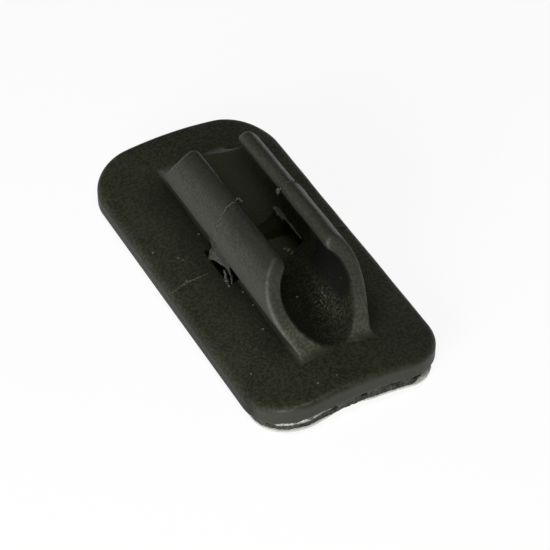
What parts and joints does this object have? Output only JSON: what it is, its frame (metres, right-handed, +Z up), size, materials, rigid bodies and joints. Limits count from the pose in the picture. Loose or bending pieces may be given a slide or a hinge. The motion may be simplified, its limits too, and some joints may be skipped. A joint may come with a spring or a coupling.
{
  "type": "cable guide",
  "caption": "Self-adhesive cable guide: arched plate with rounded corners, a round open-topped channel that grips a cable, foam pad and release liner.",
  "frame": {"origin": "under the middle of the plate, level with the lowest edges of the release liner", "axes": "+Y along the channel towards the back, +X across the plate, +Z up out of the channel's mouth"},
  "size_m": [0.02, 0.04, 0.0119],
  "materials": {
    "moulding": "fine spark-eroded grain on the plate, smoother on the channel",
    "foam": "closed-cell foam with a cut edge",
    "liner": "pale translucent film"
  },
  "bodies": {
    "root": {"guide_body": "moulding", "foam_pad": "foam", "release_liner": "liner"}
  },
  "joints": []
}
